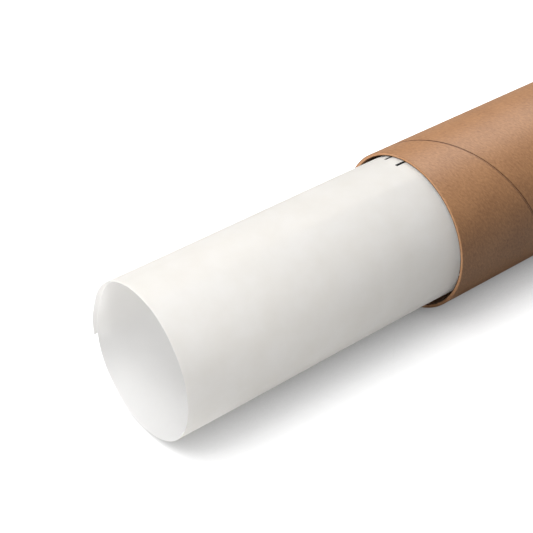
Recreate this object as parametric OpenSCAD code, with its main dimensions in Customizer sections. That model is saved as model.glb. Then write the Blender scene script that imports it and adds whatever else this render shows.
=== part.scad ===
// Drawing tube: a spiral-wound cardboard tube with two push-in end plugs
// and one rolled drawing sheet, half drawn out of the open mouth.
// The tube's axis is X. The origin is the centre of the mouth, and the tube
// runs towards +X. All sizes are in millimetres.

/* [Tube] */
// Inside diameter of the tube, a 3 inch core
tube_id = 76.2; // [60:0.1:100]
// Length of the tube
tube_len = 457; // [447:1:900]
// Thickness of the kraft paper wrap outside
wrap_t = 0.25; // [0.15:0.05:0.5]
// Thickness of each of the three chipboard body plies
ply_t = 0.4; // [0.3:0.05:0.8]
// Thickness of the paper liner inside
liner_t = 0.25; // [0.15:0.05:0.5]

/* [Seam of the outer wrap] */
// Advance of the wound strip in one turn
seam_lead = 113; // [80:1:160]
// Width of the butt gap between neighbouring turns
seam_gap = 0.4; // [0.3:0.05:1]
// Distance from the mouth at which the seam crosses the top of the tube
seam_top_x = 24.3; // [5:0.1:60]

/* [End plugs] */
// Radius of the flange that stops against the tube's end
flange_r = 38.85; // [38.5:0.05:39.5]
// Thickness of the flange
flange_t = 2.4; // [1.5:0.1:4]
// Rounding of the flange's outer corner
flange_round = 0.9; // [0.3:0.1:1]
// Depth that the skirt reaches into the tube
skirt_depth = 16; // [10:0.5:24]
// Wall thickness of the skirt
skirt_t = 1.2; // [0.8:0.1:2]
// Radial clearance of the grip rings in the bore
ring_clear = 0.05; // [0.02:0.01:0.1]
// Height of the grip rings over the skirt
ring_h = 0.35; // [0.2:0.05:0.6]
// Radius of the flat recessed panel
panel_r = 32.2; // [25:0.1:34]
// Depth of the recess in front of the panel
recess_depth = 2.8; // [1.5:0.1:6]
// Width of the flat top of the rim round the recess
rim_top_w = 3.4; // [2:0.1:5]
// Thickness of the panel
panel_t = 1.2; // [0.8:0.1:2]

/* [Drawing sheet] */
// Width of the flat sheet, which is rolled up
sheet_w = 297; // [260:1:320]
// Length of the flat sheet, which lies along the tube
sheet_len = 420; // [200:1:420]
// Thickness of the paper
sheet_t = 0.12; // [0.08:0.01:0.25]
// Mean outer radius of the roll
roll_r = 36.05; // [35:0.05:36.2]
// How much taller than wide the roll stands, as a share of its radius
roll_oval = 0.04; // [0:0.005:0.045]
// Angle of the loose outer edge, from the roll's left side upwards
flap_angle = -14; // [-30:1:10]
// How far the loose outer edge springs away from the roll
flap_lift = 2.2; // [0:0.1:2.4]
// Distance between the paper of one turn and the next, where they touch
turn_gap = 0.35; // [0.3:0.05:0.6]
// How far the inner layer sags away from the outer one at the left side
inner_sag = 3; // [0:0.1:4]
// Length of the sheet that stands out of the mouth
drawn_out = 152.5; // [10:0.1:200]

/* [Loose plug] */
// Distance from the mouth to the flange of the plug that was taken off
plug_off = 285; // [240:1:340]

/* [Hidden] */
$fn = 180;

bore_r = tube_id / 2;
liner_r = bore_r + liner_t;
ply_inner_r = liner_r + ply_t;
ply_middle_r = ply_inner_r + ply_t;
ply_outer_r = ply_middle_r + ply_t;
tube_r = ply_outer_r + wrap_t;

kraft = "#b98a63";
chipboard = "#c79466";
liner_brown = "#a8794f";
plastic_white = "#f4f4f2";
paper_white = "#f1efe9";

// Turns the Z axis of a shape to the X axis of the tube.
module along_x() {
    rotate([90, 0, 90]) children();
}

// Plain round layer of the tube wall between two radii.
module wound_layer(r_in, r_out) {
    along_x() difference() {
        cylinder(h = tube_len, r = r_out);
        translate([0, 0, -1]) cylinder(h = tube_len + 2, r = r_in);
    }
}

// Distance from the mouth of the seam at a wound angle, 90 being the top.
function seam_x(a) = seam_top_x + seam_lead * (a - 90) / 360;

// The four corners of the seam's slit at a wound angle. The slit reaches
// from inside the wrap to well outside it.
function slit_corners(a) = [
    for (c = [[-0.5, -wrap_t], [0.5, -wrap_t], [0.5, 1], [-0.5, 1]])
        let (r = (c[1] < 0 ? ply_outer_r : tube_r) + c[1])
        [seam_x(a) + c[0] * seam_gap, r * cos(a), r * sin(a)]
];

// Thin helical blade that parts neighbouring turns of the wrapped strip.
module seam_blade() {
    step = 7.5;
    spare = 5;
    first = 90 - step * ceil((seam_top_x + spare) / seam_lead * 360 / step);
    n = ceil((tube_len + 2 * spare) / seam_lead * 360 / step);
    points = [for (i = [0:n]) each slit_corners(first + i * step)];
    sides = [
        for (i = [0:n - 1], k = [0:3])
            let (p = 4 * i + k, q = 4 * i + (k + 1) % 4)
            each [[p, p + 4, q + 4], [p, q + 4, q]]
    ];
    ends = [[0, 1, 2, 3], [4 * n + 3, 4 * n + 2, 4 * n + 1, 4 * n]];
    polyhedron(points = points, faces = concat(sides, ends));
}

// Kraft strip wound round the outside, with its helical butt seam.
module outer_wrap() {
    color(kraft) difference() {
        wound_layer(ply_outer_r, tube_r);
        seam_blade();
    }
}

module ply_outer() {
    color(chipboard) wound_layer(ply_middle_r, ply_outer_r);
}

module ply_middle() {
    color(chipboard) wound_layer(ply_inner_r, ply_middle_r);
}

module ply_inner() {
    color(chipboard) wound_layer(liner_r, ply_inner_r);
}

module inner_liner() {
    color(liner_brown) wound_layer(bore_r, liner_r);
}

// Points of a quarter round from angle a0 to a1 about a centre.
function arc_points(c, r, a0, a1, n = 6) = [
    for (i = [0:n]) let (a = a0 + (a1 - a0) * i / n) c + r * [cos(a), sin(a)]
];

// Half section of a plug: x is the radius, y the distance out of the tube.
// y = 0 is the tube's end face, the flange lies above it and the skirt below.
module plug_section() {
    ring_r = bore_r - ring_clear;
    skirt_r = ring_r - ring_h;
    lead_in = 1.5;
    ring_y = [-4, -8, -12];
    ring_half = 0.8;
    rim_in_r = flange_r - rim_top_w;
    floor_y = flange_t - recess_depth;
    corner = [flange_r - flange_round, flange_t - flange_round];
    polygon(concat(
        [[0, floor_y - panel_t], [skirt_r - skirt_t, floor_y - panel_t]],
        [[skirt_r - skirt_t, -skirt_depth], [skirt_r - lead_in / 2, -skirt_depth]],
        [[skirt_r, -skirt_depth + lead_in], [skirt_r, 0], [flange_r, 0]],
        arc_points(corner, flange_round, 0, 90),
        [[rim_in_r, flange_t], [panel_r, floor_y], [0, floor_y]]
    ));
    for (y = ring_y) polygon([
        [skirt_r - 0.1, y - ring_half],
        [skirt_r, y - ring_half],
        [ring_r, y - ring_half / 3],
        [ring_r, y + ring_half / 3],
        [skirt_r, y + ring_half],
        [skirt_r - 0.1, y + ring_half]
    ]);
}

// White push-in plug, its skirt pointing towards -Z of its own frame.
module plug() {
    color(plastic_white) rotate_extrude() plug_section();
}

// The plug of the mouth, taken off and set down in front of the roll.
module near_plug() {
    translate([-plug_off, 0, 0]) rotate([0, -90, 0]) plug();
}

// The plug at the far end, pushed home.
module far_plug() {
    translate([tube_len, 0, 0]) rotate([0, 90, 0]) plug();
}

// Smooth step from 0 to 1 as t goes from 0 to 1.
function smooth(t) = let (u = min(max(t, 0), 1)) u * u * (3 - 2 * u);

// Radius of the paper's middle line at a wound angle, from the loose outer
// edge on. Past a full turn the paper lies inside itself, and sags inwards
// on the left side before its inner edge rests against the outer turn.
function paper_r(a) =
    let (oval = roll_r * (1 - roll_oval * cos(2 * (a + 7))))
    let (lift = flap_lift * (1 - smooth((a - flap_angle) / 35)))
    let (inside = turn_gap * smooth((a - flap_angle - 330) / 30))
    let (sag = inner_sag * smooth((a - 326) / 62) * (1 - smooth((a - 388) / 32)))
    oval - sheet_t / 2 + lift - inside - sag;

// Wound angles at equal steps of length along the rolled-up width.
function wound_angles(n) = [
    for (i = 0, a = flap_angle; i <= n; i = i + 1, a = a + sheet_w / n / paper_r(a) * 180 / PI) a
];

// Points on one face of the paper, offset from its middle line.
function paper_face(angles, off) = [
    for (a = angles) (paper_r(a) + off) * [cos(a), sin(a)]
];

// The rolled sheet: one spiral of a turn and a third, drawn out of the mouth.
module drawing_sheet() {
    angles = wound_angles(120);
    outside = paper_face(angles, sheet_t / 2);
    inside = paper_face(angles, -sheet_t / 2);
    last = len(inside) - 1;
    color(paper_white) translate([-drawn_out, 0, 0]) along_x()
        linear_extrude(sheet_len)
            polygon(concat(outside, [for (i = [last:-1:0]) inside[i]]));
}

outer_wrap();
ply_outer();
ply_middle();
ply_inner();
inner_liner();
near_plug();
far_plug();
drawing_sheet();
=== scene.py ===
"""Drawing tube with its mouth open and a rolled drawing sheet partly drawn out.

The scene is in metres, in the frame of the CAD model: the origin is the centre of
the tube's mouth and the tube runs towards +X. Angles about the tube's axis start at
+Y and pass through +Z, so 90 degrees is the top of the tube. A wound angle goes on
counting past 360 degrees, from turn to turn.
"""
import math
import random

import bpy
from mathutils import Matrix, Vector, noise


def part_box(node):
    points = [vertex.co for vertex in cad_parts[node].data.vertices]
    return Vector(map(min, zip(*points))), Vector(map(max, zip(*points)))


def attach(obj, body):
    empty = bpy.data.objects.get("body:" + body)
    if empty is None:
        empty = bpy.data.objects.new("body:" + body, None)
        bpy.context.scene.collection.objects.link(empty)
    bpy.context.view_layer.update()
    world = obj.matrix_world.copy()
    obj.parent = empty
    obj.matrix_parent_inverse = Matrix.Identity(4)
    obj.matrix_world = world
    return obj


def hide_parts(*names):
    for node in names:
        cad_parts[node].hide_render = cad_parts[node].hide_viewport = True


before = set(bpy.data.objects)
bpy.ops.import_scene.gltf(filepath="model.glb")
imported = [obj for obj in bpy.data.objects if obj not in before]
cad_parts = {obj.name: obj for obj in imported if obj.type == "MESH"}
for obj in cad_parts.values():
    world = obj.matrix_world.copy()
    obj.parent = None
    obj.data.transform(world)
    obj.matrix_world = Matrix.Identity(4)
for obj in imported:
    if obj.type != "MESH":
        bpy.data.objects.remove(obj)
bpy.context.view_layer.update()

MM = 0.001
scene = bpy.context.scene
scene.view_settings.view_transform = "Standard"

# ---------------------------------------------------------------- the camera
# Place in metres, angles in degrees, lens and sensor in millimetres.
CAMERA_AT = (-0.38537, -0.36624, 0.38169)
CAMERA_YAW = 50.54
CAMERA_PITCH = 37.48
CAMERA_ROLL = 1.10
CAMERA_LENS = 92.04
CAMERA_SENSOR = 36.0
NEAREST_SEEN = 0.01


def looking(yaw, pitch, roll):
    """Rotation of a camera that looks yaw degrees left of +X and pitch degrees down."""
    yaw, pitch, roll = (math.radians(a) for a in (yaw, pitch, roll))
    ahead = Vector(
        (
            math.cos(yaw) * math.cos(pitch),
            math.sin(yaw) * math.cos(pitch),
            -math.sin(pitch),
        )
    )
    right = Vector((math.sin(yaw), -math.cos(yaw), 0))
    up = right.cross(ahead)
    turned_right = right * math.cos(roll) + up * math.sin(roll)
    turned_up = up * math.cos(roll) - right * math.sin(roll)
    return Matrix((turned_right, turned_up, -ahead)).transposed().to_4x4()


camera_data = bpy.data.cameras.new("camera")
camera_data.sensor_width = CAMERA_SENSOR
camera_data.lens = CAMERA_LENS
camera_data.clip_start = NEAREST_SEEN
camera = bpy.data.objects.new("camera", camera_data)
scene.collection.objects.link(camera)
turn = looking(CAMERA_YAW, CAMERA_PITCH, CAMERA_ROLL)
camera.matrix_world = Matrix.Translation(CAMERA_AT) @ turn
scene.camera = camera

# ---------------------------------------------------------------- real sizes
wrap_low, wrap_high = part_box("outer_wrap")
TUBE_LEN = wrap_high.x - wrap_low.x
FLOOR_Z = wrap_low.z
TUBE_R = -wrap_low.z
# The wall from outside to inside: a wrap, three board plies and a liner.
WRAP_T = 0.25 * MM
PLY_T = 0.4 * MM
LINER_T = 0.25 * MM
PLY_NAMES = ("ply_outer", "ply_middle", "ply_inner")
BORE_R = TUBE_R - WRAP_T - len(PLY_NAMES) * PLY_T - LINER_T

# The wrap and the liner are strips wound on a right-hand helix, with a butt seam.
# A seam advances by its lead in each turn and crosses the top of the tube at its TOP_X.
SEAM_LEAD = 113 * MM
SEAM_TOP_X = 24.3 * MM
SEAM_GAP = 0.42 * MM
LINER_LEAD = 96 * MM
LINER_TOP_X = 71 * MM
# How far the ends of the liner and of the board plies stand back in the cut wall.
LINER_SETBACK = 0.06 * MM
PLY_SETBACK = 0.08 * MM

# The push-in plugs: a flange with a rounded rim, a sunk panel and a ringed skirt.
FLANGE_R = 38.85 * MM
FLANGE_T = 2.4 * MM
SKIRT_DEPTH = 16 * MM
SKIRT_T = 1.2 * MM
RING_R = BORE_R - 0.05 * MM
RING_HEIGHT = 0.35 * MM
RING_HALF_W = 0.8 * MM
RING_DEPTHS = (12 * MM, 8 * MM, 4 * MM)
SKIRT_R = RING_R - RING_HEIGHT
PANEL_R = 32.2 * MM
RECESS = 2.8 * MM
RIM_TOP_W = 3.4 * MM
PANEL_T = 1.2 * MM

# An A3 sheet of drawing paper, its short side rolled up.
SHEET_W = 297 * MM
SHEET_LEN = 420 * MM
SHEET_T = 0.12 * MM
SHEET_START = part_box("drawing_sheet")[0].x
ROLL_R = 36.05 * MM
# The roll stands a little taller than wide, and its oval leans by OVAL_LEAN.
ROLL_OVAL = 0.04
OVAL_LEAN = 7
# The loose outer edge lies at FLAP_ANGLE, springs out and eases back over FLAP_EASE.
FLAP_ANGLE = -14
FLAP_LIFT = 2.2 * MM
FLAP_EASE = 35
# The paper passes under its own edge after a full turn, and TURN_EASE leads up to it.
TURN_GAP = 0.35 * MM
TURN_EASE = 30
# The inner turn sags away from the outer one between these wound angles.
INNER_SAG = 3 * MM
SAG_FROM, SAG_DEEPEST, SAG_TO = 326, 388, 420
# Where the roll's centre lies beside and above the tube's axis, in the tube and outside.
ROLL_HELD = (0.13 * MM, 0.17 * MM)
ROLL_FREE = (-0.42 * MM, -0.37 * MM)
# Slow unevenness of the paper: its depth, and how often it changes along and round.
RIPPLE_DEPTH = 0.10 * MM
RIPPLE_ALONG = 9
RIPPLE_ROUND = 1.4

# The two printed ticks: the wound angle of each, and its two ends along the sheet.
TICKS = ((70.5, 149.2 * MM, 157 * MM), (84.9, 147.5 * MM, 155.3 * MM))
TICK_W = 1.5 * MM
# The back face of the sheet lies this far beside the front one in the flat coordinates.
BACK_FACE_AT = 1.0


# ---------------------------------------------------------------- mesh tools
def on_tube(x, r, angle):
    """Point at a distance from the mouth, a radius and an angle in degrees."""
    a = math.radians(angle)
    return (x, r * math.cos(a), r * math.sin(a))


def smooth(t):
    """Smooth step from 0 to 1 while t goes from 0 to 1."""
    t = min(max(t, 0.0), 1.0)
    return t * t * (3 - 2 * t)


def new_piece(name, points, faces, uvs, material, sharp=40):
    """Mesh object with one UV pair per point, smooth but for its sharp edges."""
    mesh = bpy.data.meshes.new(name)
    mesh.from_pydata(points, [], faces)
    layer = mesh.uv_layers.new(name="flat")
    for loop in mesh.loops:
        layer.data[loop.index].uv = uvs[loop.vertex_index]
    mesh.materials.append(material)
    mesh.shade_smooth()
    mesh.set_sharp_from_angle(angle=math.radians(sharp))
    mesh.validate()
    piece = bpy.data.objects.new(name, mesh)
    scene.collection.objects.link(piece)
    return piece


def bridged(rings, closed_end=True):
    """Faces between rings of equal point count, each ring a closed loop."""
    size = len(rings[0])
    faces = []
    for a, b in zip(rings, rings[1:]):
        for i in range(size):
            j = (i + 1) % size
            faces.append((a[i], a[j], b[j], b[i]))
    if closed_end:
        faces.append(tuple(reversed(rings[0])))
        faces.append(tuple(rings[-1]))
    return faces


def add_piece(piece, body, node):
    """Put a piece on its body, in the place of a node."""
    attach(piece, body)
    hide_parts(node)


# ---------------------------------------------------------------- node tools
def new_material(name):
    """Material with an empty node tree, and that tree."""
    material = bpy.data.materials.new(name)
    material.use_nodes = True
    material.node_tree.nodes.clear()
    return material, material.node_tree


def add(tree, kind, settings=None, **inputs):
    """Node of a kind, with its settings, and its inputs set or linked by name."""
    made = tree.nodes.new("ShaderNode" + kind)
    for key, value in (settings or {}).items():
        setattr(made, key, value)
    for key, value in inputs.items():
        plug(tree, made.inputs[key.replace("_", " ")], value)
    return made


def plug(tree, socket, value):
    """Link an output to a socket, or set the socket to a plain value."""
    if isinstance(value, bpy.types.NodeSocket):
        tree.links.new(value, socket)
    else:
        socket.default_value = value


def maths(tree, operation, *values):
    """Result of a Math node on one to three values."""
    made = tree.nodes.new("ShaderNodeMath")
    made.operation = operation
    for socket, value in zip(made.inputs, values):
        plug(tree, socket, value)
    return made.outputs[0]


def blended(tree, amount, colour_a, colour_b):
    """Colour a at an amount of 0, and colour b at 1."""
    made = tree.nodes.new("ShaderNodeMix")
    made.data_type = "RGBA"
    # The sockets for colours come after those for numbers and for vectors.
    plug(tree, made.inputs["Factor"], amount)
    plug(tree, made.inputs[6], colour_a)
    plug(tree, made.inputs[7], colour_b)
    return made.outputs[2]


def ramp(tree, value, low, high, to_low=0.0, to_high=1.0):
    """Value from low to high mapped to a new range, and held beyond it."""
    made = add(tree, "MapRange", Value=value)
    for name, number in zip(
        ("From Min", "From Max", "To Min", "To Max"), (low, high, to_low, to_high)
    ):
        made.inputs[name].default_value = number
    return made.outputs["Result"]


def stretched(tree, vector, along, across):
    """The flat coordinates scaled apart along and across the paper's grain."""
    made = add(tree, "Mapping", Vector=vector)
    made.inputs["Scale"].default_value = (along, across, 1)
    return made.outputs["Vector"]


def noise_of(tree, vector, scale, detail, roughness=0.5):
    """Noise from 0 to 1, with about scale lumps to a unit of the vector."""
    made = add(
        tree, "TexNoise", Vector=vector, Scale=scale, Detail=detail, Roughness=roughness
    )
    return made.outputs["Fac"]


def mixed(tree, share, shader_a, shader_b):
    """Shader that is a at a share of 0, and b at 1."""
    both = add(tree, "MixShader")
    plug(tree, both.inputs[0], share)
    tree.links.new(shader_a.outputs[0], both.inputs[1])
    tree.links.new(shader_b.outputs[0], both.inputs[2])
    return both.outputs[0]


def finish_material(tree, shader, height=None, strength=0.25, distance=0.05 * MM):
    """Bump every shader with a height, if there is one, and connect the output."""
    if height is not None:
        bump = add(tree, "Bump", Height=height, Strength=strength, Distance=distance)
        for node in tree.nodes:
            if "Normal" in node.inputs and node.bl_idname.startswith("ShaderNodeBsdf"):
                tree.links.new(bump.outputs[0], node.inputs["Normal"])
    out = tree.nodes.new("ShaderNodeOutputMaterial")
    tree.links.new(shader, out.inputs["Surface"])


def rgb(r, g, b):
    """Opaque colour in linear light."""
    return (r, g, b, 1.0)


# ---------------------------------------------------------------- materials
def flat_place(tree):
    """Coordinates of a sheet of paper laid flat, in metres."""
    return add(tree, "UVMap", {"uv_map": "flat"}).outputs[0]


def paper_grain(tree, flat, base, dark, light, flecks=0.3):
    """Colour and height of a fibrous brown paper, from its flat coordinates.

    Broad clouds, patches and fibres set the tone between dark and base, and pale flecks
    and dark specks lie over it. All but the clouds are longer along the flat X.
    """
    broad = ramp(tree, noise_of(tree, flat, 60, 3), 0.3, 0.7, -0.16, 0.16)
    patchy = noise_of(tree, stretched(tree, flat, 480, 900), 1.0, 4, 0.65)
    fibres = noise_of(tree, stretched(tree, flat, 650, 2600), 1.0, 3, 0.6)
    tone = maths(tree, "ADD", broad, ramp(tree, patchy, 0.3, 0.7, 0.1, 0.9))
    tone = maths(tree, "ADD", tone, ramp(tree, fibres, 0.3, 0.7, -0.35, 0.35))
    colour = blended(tree, tone, dark, base)
    pale = noise_of(tree, stretched(tree, flat, 700, 1500), 1.0, 1, 0.4)
    colour = blended(tree, ramp(tree, pale, 0.66, 0.8, 0, flecks), colour, light)
    specks = noise_of(tree, stretched(tree, flat, 650, 1700), 1.0, 1, 0.4)
    colour = blended(tree, ramp(tree, specks, 0.32, 0.2, 0, 0.8), colour, dark)
    height = maths(tree, "MULTIPLY_ADD", patchy, 0.6, fibres)
    return colour, height


def kraft_material():
    """Machine-glazed kraft: smooth, faintly shiny, with fibres along the strip."""
    material, tree = new_material("kraft_wrap")
    flat = flat_place(tree)
    colour, height = paper_grain(
        tree,
        flat,
        base=rgb(0.470, 0.240, 0.110),
        dark=rgb(0.300, 0.142, 0.063),
        light=rgb(0.570, 0.350, 0.210),
    )
    # Painted shade: the strip's cut edges along the butt seam are darkened, standing in
    # for the shade in the narrow seam gap.
    seam_shade_w = 0.6 * MM
    strip_w = SEAM_LEAD * math.cos(math.atan2(SEAM_LEAD, 2 * math.pi * TUBE_R))
    across = add(tree, "SeparateXYZ", Vector=flat).outputs["Y"]
    far_edge = maths(tree, "SUBTRACT", strip_w, across)
    to_edge = maths(tree, "MINIMUM", across, far_edge)
    seam_shade = ramp(tree, to_edge, SEAM_GAP / 2, SEAM_GAP / 2 + seam_shade_w, 0.9, 0)
    colour = blended(tree, seam_shade, colour, rgb(0.085, 0.030, 0.010))
    bsdf = add(tree, "BsdfPrincipled", Base_Color=colour, Roughness=0.5)
    bsdf.inputs["Specular IOR Level"].default_value = 0.6
    finish_material(tree, bsdf.outputs[0], height)
    return material


def board_material(name, base, dark, light):
    """Matt wound board or liner, rougher and fuzzier than the outer wrap."""
    material, tree = new_material(name)
    flat = flat_place(tree)
    colour, height = paper_grain(tree, flat, base, dark, light, flecks=0.5)
    bsdf = add(tree, "BsdfPrincipled", Base_Color=colour, Roughness=0.85)
    bsdf.inputs["Specular IOR Level"].default_value = 0.2
    finish_material(tree, bsdf.outputs[0], height, 0.5, 0.1 * MM)
    return material


def plastic_material():
    """Satin white polyethylene with a faint moulded texture."""
    material, tree = new_material("white_plug")
    place = add(tree, "TexCoord").outputs["Object"]
    clouds = ramp(tree, noise_of(tree, place, 60, 2), 0.3, 0.7)
    colour = blended(tree, clouds, rgb(0.83, 0.83, 0.825), rgb(0.86, 0.86, 0.855))
    skin = noise_of(tree, place, 2600, 2)
    roughness = ramp(tree, noise_of(tree, place, 240, 3), 0.3, 0.7, 0.34, 0.42)
    bsdf = add(tree, "BsdfPrincipled", Base_Color=colour, Roughness=roughness)
    bsdf.inputs["Specular IOR Level"].default_value = 0.5
    finish_material(tree, bsdf.outputs[0], skin, 0.12, 0.03 * MM)
    return material


def tick_mask(tree, flat):
    """1 inside the printed ticks of the sheet's outer face, and 0 elsewhere."""
    split = add(tree, "SeparateXYZ", Vector=flat)
    across, along = split.outputs["X"], split.outputs["Y"]
    mask = 0.0
    for angle, start, end in TICKS:
        beside = maths(tree, "SUBTRACT", across, sheet_place(angle))
        narrow = maths(tree, "LESS_THAN", maths(tree, "ABSOLUTE", beside), TICK_W / 2)
        begun = maths(tree, "GREATER_THAN", along, start)
        ended = maths(tree, "LESS_THAN", along, end)
        inside = maths(tree, "MULTIPLY", maths(tree, "MULTIPLY", narrow, begun), ended)
        mask = maths(tree, "MAXIMUM", mask, inside)
    return mask


def sheet_material():
    """Warm white drawing paper with a soft tooth that lets light through."""
    material, tree = new_material("drawing_paper")
    flat = flat_place(tree)
    clouds = ramp(tree, noise_of(tree, flat, 70, 4, 0.6), 0.3, 0.7)
    tooth = noise_of(tree, flat, 1500, 3, 0.6)
    front = blended(tree, clouds, rgb(0.928, 0.908, 0.872), rgb(0.958, 0.943, 0.918))
    back = blended(tree, clouds, rgb(0.948, 0.95, 0.955), rgb(0.957, 0.96, 0.965))
    across = add(tree, "SeparateXYZ", Vector=flat).outputs["X"]
    behind = maths(tree, "GREATER_THAN", across, BACK_FACE_AT / 2)
    blank = blended(tree, behind, front, back)
    ink = rgb(0.02, 0.02, 0.022)
    colour = blended(tree, tick_mask(tree, flat), blank, ink)
    surface = add(tree, "BsdfPrincipled", Base_Color=colour, Roughness=0.75)
    surface.inputs["Specular IOR Level"].default_value = 0.25
    through = add(tree, "BsdfTranslucent", Color=colour)
    both = mixed(tree, 0.6, surface, through)
    finish_material(tree, both, tooth, 0.15)
    return material


# ---------------------------------------------------------------- wound tube
def wound_strip(name, r_in, r_out, lead, top_x, material, face_out=True, setback=0.0):
    """Strip wound on a helix along the whole tube, cut off square at both ends.

    Each ring of points is a section of the strip along the tube at one wound angle.
    Its flat coordinates run along the strip, and across it from the middle of its seam.
    """
    # Degrees from ring to ring, the least of them between a ring and a corner, and the
    # width of the strip where it is cut off at its pointed ends.
    step = 3
    closest = 0.5
    narrowest = 0.3 * MM
    # The soft edges: how far the shown face drops at a few places across the strip.
    lip = 0.05 * MM
    shares = (0, 0.0015, 0.006, 0.1, 0.3, 0.5, 0.7, 0.9, 0.994, 0.9985, 1)
    drops = (lip, 0.2 * lip, 0, 0, 0, 0, 0, 0, 0, 0.2 * lip, lip)
    shown_r, back_r = (r_out, r_in) if face_out else (r_in, r_out)
    half_gap = SEAM_GAP / 2

    def seam_angle(x):
        return 90 + 360 * (x - top_x) / lead

    low = seam_angle(narrowest - lead + half_gap)
    high = seam_angle(TUBE_LEN - narrowest - half_gap)
    # The strip's edges meet the tube's ends at the two angles in between.
    corners = [low, seam_angle(-half_gap), seam_angle(TUBE_LEN - lead + half_gap), high]
    turns = [low + step * i for i in range(1, int((high - low) / step))]
    apart = [a for a in turns if min(abs(a - c) for c in corners) > closest]
    slope = math.atan2(lead, 2 * math.pi * shown_r)
    edge = top_x * math.cos(slope) - math.pi / 2 * shown_r * math.sin(slope)
    points, uvs, rings = [], [], []
    for angle in sorted(corners + apart):
        seam = top_x + lead * (angle - 90) / 360
        start = max(setback, seam + half_gap)
        end = min(TUBE_LEN - setback, seam + lead - half_gap)
        loop = []
        for share, drop in zip(shares, drops):
            r = r_out - drop if face_out else r_in + drop
            loop.append((start + (end - start) * share, r))
        loop += [(end, back_r), (start, back_r)]
        ring = []
        round_it = math.radians(angle) * shown_r
        for x, r in loop:
            ring.append(len(points))
            points.append(on_tube(x, r, angle))
            along = round_it * math.cos(slope) + x * math.sin(slope)
            across = x * math.cos(slope) - round_it * math.sin(slope) - edge
            uvs.append((along, across))
        rings.append(ring if face_out else ring[::-1])
    return new_piece(name, points, bridged(rings), uvs, material)


def ply_tube(name, r_in, r_out, material, seed):
    """Round body ply whose cut ends are a little set back, bevelled and fuzzy."""
    rng = random.Random(seed)
    count = 240
    rough = 0.05 * MM
    bevel = 0.06 * MM
    sections = (0, 0.25, 0.5, 0.75, 1)
    middle = (r_in + r_out) / 2
    rings, points, uvs = [], [], []
    wobble = [[rng.uniform(-1, 1) for _ in range(count)] for _ in range(4)]
    for i in range(count):
        angle = 360 * i / count
        near = PLY_SETBACK + rough * wobble[0][i]
        far = TUBE_LEN - PLY_SETBACK + rough * wobble[1][i]
        near_in = near + bevel + 0.5 * rough * wobble[2][i]
        far_in = far - bevel + 0.5 * rough * wobble[3][i]
        outside = [(near_in + (far_in - near_in) * s, r_out) for s in sections]
        inside = [(far_in + (near_in - far_in) * s, r_in) for s in sections]
        loop = outside + [(far, middle)] + inside + [(near, middle)]
        ring = []
        run = 0.0
        for k, (x, r) in enumerate(loop):
            if k:
                run += math.dist((x, r), loop[k - 1])
            ring.append(len(points))
            points.append(on_tube(x, r, angle))
            uvs.append((math.radians(angle) * r_out, run))
        rings.append(ring)
    faces = bridged(rings + [rings[0]], closed_end=False)
    return new_piece(name, points, faces, uvs, material, sharp=60)


# ---------------------------------------------------------------- end plugs
def rounded(corners, steps=5):
    """Polyline (r, y) through corners given as (r, y, fillet radius)."""
    line = []
    for i, (r, y, radius) in enumerate(corners):
        if radius == 0:
            line.append((r, y))
            continue
        here = Vector((r, y))
        back = (Vector(corners[i - 1][:2]) - here).normalized()
        ahead = (Vector(corners[(i + 1) % len(corners)][:2]) - here).normalized()
        half = back.angle(ahead) / 2
        reach = radius / math.tan(half)
        centre = here + (back + ahead).normalized() * (radius / math.sin(half))
        first, last = here + back * reach - centre, here + ahead * reach - centre
        for k in range(steps + 1):
            way = first.slerp(last, k / steps)
            line.append(tuple(centre + way * (radius / way.length)))
    return line


def plug_profile():
    """Half section of a plug, from the panel's inner centre round to its outer one.

    Heights start at the flange's underside, which rests on the tube's end.
    """
    panel_y = FLANGE_T - RECESS
    inner_r = SKIRT_R - SKIRT_T
    corners = [
        (0, panel_y - PANEL_T, 0),
        (inner_r, panel_y - PANEL_T, 0.8 * MM),
        (inner_r, -SKIRT_DEPTH, 0.4 * MM),
        (SKIRT_R - 0.75 * MM, -SKIRT_DEPTH, 0.3 * MM),
        (SKIRT_R, -SKIRT_DEPTH + 1.5 * MM, 0.5 * MM),
    ]
    for depth in RING_DEPTHS:
        corners += [
            (SKIRT_R, -depth - RING_HALF_W, 0.15 * MM),
            (RING_R, -depth - RING_HALF_W / 3, 0.12 * MM),
            (RING_R, -depth + RING_HALF_W / 3, 0.12 * MM),
            (SKIRT_R, -depth + RING_HALF_W, 0.15 * MM),
        ]
    corners += [
        (SKIRT_R, 0, 0.15 * MM),
        (FLANGE_R, 0, 0.25 * MM),
        (FLANGE_R, FLANGE_T, 0.9 * MM),
        (FLANGE_R - RIM_TOP_W, FLANGE_T, 0.9 * MM),
        (PANEL_R, panel_y, 0.8 * MM),
        (0, panel_y, 0),
    ]
    return rounded(corners)


def plug_piece(name, seat_x, outwards, material):
    """Lathed plug whose flange sits at seat_x and faces outwards, +1 or -1 in X."""
    count = 180
    profile = plug_profile()
    points, uvs, rings = [], [], []
    run = [0.0]
    for a, b in zip(profile, profile[1:]):
        run.append(run[-1] + math.dist(a, b))
    for k, (r, y) in enumerate(profile[1:-1]):
        ring = []
        for i in range(count):
            angle = 360 * i / count
            ring.append(len(points))
            points.append(on_tube(seat_x + outwards * y, r, angle))
            uvs.append((math.radians(angle) * r, run[k + 1]))
        rings.append(ring)
    faces = bridged(rings, closed_end=False)
    ends = ((profile[0][1], rings[0], True), (profile[-1][1], rings[-1], False))
    for pole_y, ring, inward in ends:
        tip = len(points)
        points.append((seat_x + outwards * pole_y, 0, 0))
        uvs.append((0, 0))
        for i in range(count):
            a, b = ring[i], ring[(i + 1) % count]
            faces.append((b, a, tip) if inward else (a, b, tip))
    if outwards > 0:
        faces = [tuple(reversed(f)) for f in faces]
    return new_piece(name, points, faces, uvs, material, sharp=50)


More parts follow.
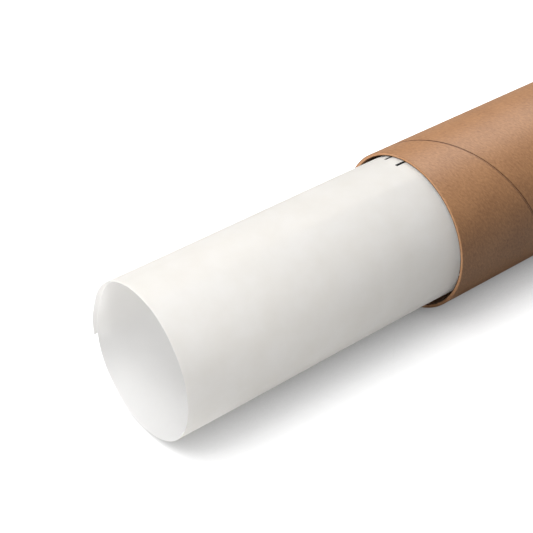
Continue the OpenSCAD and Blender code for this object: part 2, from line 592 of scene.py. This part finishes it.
# ---------------------------------------------------------------- the sheet
def paper_r(angle):
    """Radius of the paper's middle line at a wound angle, as in the CAD model."""
    inside_from = angle - FLAP_ANGLE
    r = ROLL_R * (1 - ROLL_OVAL * math.cos(math.radians(2 * (angle + OVAL_LEAN))))
    r += FLAP_LIFT * (1 - smooth(inside_from / FLAP_EASE)) - SHEET_T / 2
    r -= TURN_GAP * smooth((inside_from - 360 + TURN_EASE) / TURN_EASE)
    sinking = smooth((angle - SAG_FROM) / (SAG_DEEPEST - SAG_FROM))
    rising = smooth((angle - SAG_DEEPEST) / (SAG_TO - SAG_DEEPEST))
    return r - INNER_SAG * sinking * (1 - rising)


def wound_angles(count):
    """Wound angles at equal steps of length along the rolled-up width."""
    angles = [FLAP_ANGLE]
    for _ in range(count):
        step = SHEET_W / count / paper_r(angles[-1])
        angles.append(angles[-1] + math.degrees(step))
    return angles


def roll_shift(x):
    """How far the roll's centre lies off the tube's axis at a place along it."""
    free = smooth(x / SHEET_START)
    return [held + (out - held) * free for held, out in zip(ROLL_HELD, ROLL_FREE)]


def ripple(x, angle):
    """Slow unevenness of the rolled paper, the same for both of its turns."""
    around = (RIPPLE_ROUND * math.cos(angle), RIPPLE_ROUND * math.sin(angle))
    return RIPPLE_DEPTH * noise.noise(Vector((x * RIPPLE_ALONG, *around)))


def rolled_sheet(name, material):
    """The whole sheet as one closed spiral shell, the front face first in each ring."""
    count = 300
    lengths = 60
    angles = wound_angles(count)
    points, uvs, rings = [], [], []
    for station in range(lengths + 1):
        along = SHEET_LEN * (station / lengths)
        x = SHEET_START + along
        shift_y, shift_z = roll_shift(x)
        ring = []
        for side in (1, -1):
            for k in range(count + 1)[::side]:
                a = math.radians(angles[k])
                r = paper_r(angles[k]) + side * SHEET_T / 2 + ripple(x, a)
                ring.append(len(points))
                points.append((x, r * math.cos(a) + shift_y, r * math.sin(a) + shift_z))
                across = SHEET_W * k / count + (0 if side > 0 else BACK_FACE_AT)
                uvs.append((across, along))
        rings.append(ring)
    faces = bridged(rings, closed_end=False)
    for ring, flip in ((rings[0], True), (rings[-1], False)):
        for k in range(count):
            quad = (ring[k], ring[k + 1], ring[-k - 2], ring[-k - 1])
            faces.append(tuple(reversed(quad)) if flip else quad)
    return new_piece(name, points, faces, uvs, material, sharp=50)


def sheet_place(angle):
    """Distance across the flat sheet of a wound angle of its outer turn."""
    run, a, step = 0.0, FLAP_ANGLE, 0.25
    while a < angle:
        run += paper_r(a) * math.radians(step)
        a += step
    return run


# ---------------------------------------------------------------- assembly
kraft = kraft_material()
board = board_material(
    "chipboard", rgb(0.60, 0.34, 0.19), rgb(0.50, 0.26, 0.13), rgb(0.7, 0.44, 0.27)
)
liner_paper = board_material(
    "kraft_liner", rgb(0.15, 0.08, 0.042), rgb(0.11, 0.055, 0.028), rgb(0.2, 0.12, 0.07)
)
plastic = plastic_material()
paper = sheet_material()

ply_outer_r = TUBE_R - WRAP_T
wrap = wound_strip("spiral_wrap", ply_outer_r, TUBE_R, SEAM_LEAD, SEAM_TOP_X, kraft)
add_piece(wrap, "tube", "outer_wrap")

for number, ply_name in enumerate(PLY_NAMES):
    outer_r = ply_outer_r - number * PLY_T
    seed = 40 + number
    ply = ply_tube("board_" + ply_name, outer_r - PLY_T, outer_r, board, seed)
    add_piece(ply, "tube", ply_name)

liner = wound_strip(
    "bore_liner",
    BORE_R,
    BORE_R + LINER_T,
    LINER_LEAD,
    LINER_TOP_X,
    liner_paper,
    face_out=False,
    setback=LINER_SETBACK,
)
add_piece(liner, "tube", "inner_liner")

near_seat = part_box("near_plug")[0].x + FLANGE_T
far_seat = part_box("far_plug")[1].x - FLANGE_T
near_piece = plug_piece("end_plug_near", near_seat, -1, plastic)
add_piece(near_piece, "near_plug", "near_plug")
far_piece = plug_piece("end_plug_far", far_seat, 1, plastic)
add_piece(far_piece, "far_plug", "far_plug")

sheet = rolled_sheet("rolled_sheet", paper)
add_piece(sheet, "sheet", "drawing_sheet")

# ---------------------------------------------------------------- floor and light
# Half the floor's side in metres, and its finish. The camera sees a diffuse grey and an
# even emitted glow, dimmed by ambient occlusion within SHADE_REACH of the object as a
# painted contact shadow. All other rays meet a plain grey of FLOOR_BOUNCE, so that the
# floor doesn't wash out the object's shaded side.
FLOOR_HALF = 40.0
FLOOR_SEEN = 0.34
FLOOR_GLOW = 1.28
FLOOR_BOUNCE = 0.35
SHADE_REACH = 0.09
# The soft lights: the side of each square in metres, its watts and its place. The key
# comes from above the open end, and the sheen from above the far end. A small light
# shines into the roll, and another one lights the paper alone.
LIGHT_DISTANCE = 3.0
KEY_SIDE = 2.0
KEY_WATTS = 102.0
KEY_TOWARDS = (-0.45, 0.12, 0.87)
SHEEN_SIDE = 1.6
SHEEN_WATTS = 32.0
SHEEN_TOWARDS = (0.59, 0.33, 0.74)
FILL_SIDE = 0.5
FILL_WATTS = 5.0
FILL_AT = (-1.2, 0.45, 0.22)
PAPER_SIDE = 0.6
PAPER_WATTS = 14.5
PAPER_AT = (-1.3, -0.92, 0.28)
ROLL_END = (-0.12, 0, 0)
SKY_STRENGTH = 0.15


def floor_finish():
    """Bright white floor that throws only a little light back on the object."""
    material, tree = new_material("pale_floor")
    seen = add(tree, "BsdfDiffuse", Color=rgb(FLOOR_SEEN, FLOOR_SEEN, FLOOR_SEEN))
    # Painted contact shadow: the floor's glow is dimmed by ambient occlusion near the
    # object.
    open_sky = add(tree, "AmbientOcclusion", {"samples": 16}, Distance=SHADE_REACH)
    glow = add(tree, "Emission", Color=open_sky.outputs["Color"], Strength=FLOOR_GLOW)
    shown = add(tree, "AddShader")
    tree.links.new(seen.outputs[0], shown.inputs[0])
    tree.links.new(glow.outputs[0], shown.inputs[1])
    bounce = rgb(FLOOR_BOUNCE, FLOOR_BOUNCE, FLOOR_BOUNCE)
    thrown = add(tree, "BsdfDiffuse", Color=bounce)
    to_camera = add(tree, "LightPath").outputs["Is Camera Ray"]
    finish_material(tree, mixed(tree, to_camera, thrown, shown))
    return material


corners = [(-1, -1), (1, -1), (1, 1), (-1, 1)]
floor_points = [(x * FLOOR_HALF, y * FLOOR_HALF, FLOOR_Z) for x, y in corners]
floor = new_piece("floor", floor_points, [(0, 1, 2, 3)], corners, floor_finish())


def soft_box(name, side, watts, place, aim=(0, 0, 0), only=None):
    """Square area light that faces a point and may light one piece alone."""
    data = bpy.data.lights.new(name, "AREA")
    data.shape = "SQUARE"
    data.size = side
    data.energy = watts
    lamp = bpy.data.objects.new(name, data)
    scene.collection.objects.link(lamp)
    lamp.location = place
    lamp.rotation_mode = "QUATERNION"
    backwards = Vector(place) - Vector(aim)
    lamp.rotation_quaternion = backwards.to_track_quat("Z", "Y")
    if only:
        lit = bpy.data.collections.new(name + "_lights")
        lit.objects.link(only)
        lamp.light_linking.receiver_collection = lit


key_at = Vector(KEY_TOWARDS).normalized() * LIGHT_DISTANCE
sheen_at = Vector(SHEEN_TOWARDS).normalized() * LIGHT_DISTANCE
soft_box("key", KEY_SIDE, KEY_WATTS, key_at)
soft_box("sheen", SHEEN_SIDE, SHEEN_WATTS, sheen_at)
soft_box("mouth_fill", FILL_SIDE, FILL_WATTS, FILL_AT, ROLL_END)
soft_box("paper_fill", PAPER_SIDE, PAPER_WATTS, PAPER_AT, ROLL_END, only=sheet)

world = bpy.data.worlds.new("soft_sky")
world.use_nodes = True
sky = world.node_tree.nodes["Background"]
sky.inputs["Color"].default_value = rgb(1, 1, 1)
sky.inputs["Strength"].default_value = SKY_STRENGTH
scene.world = world
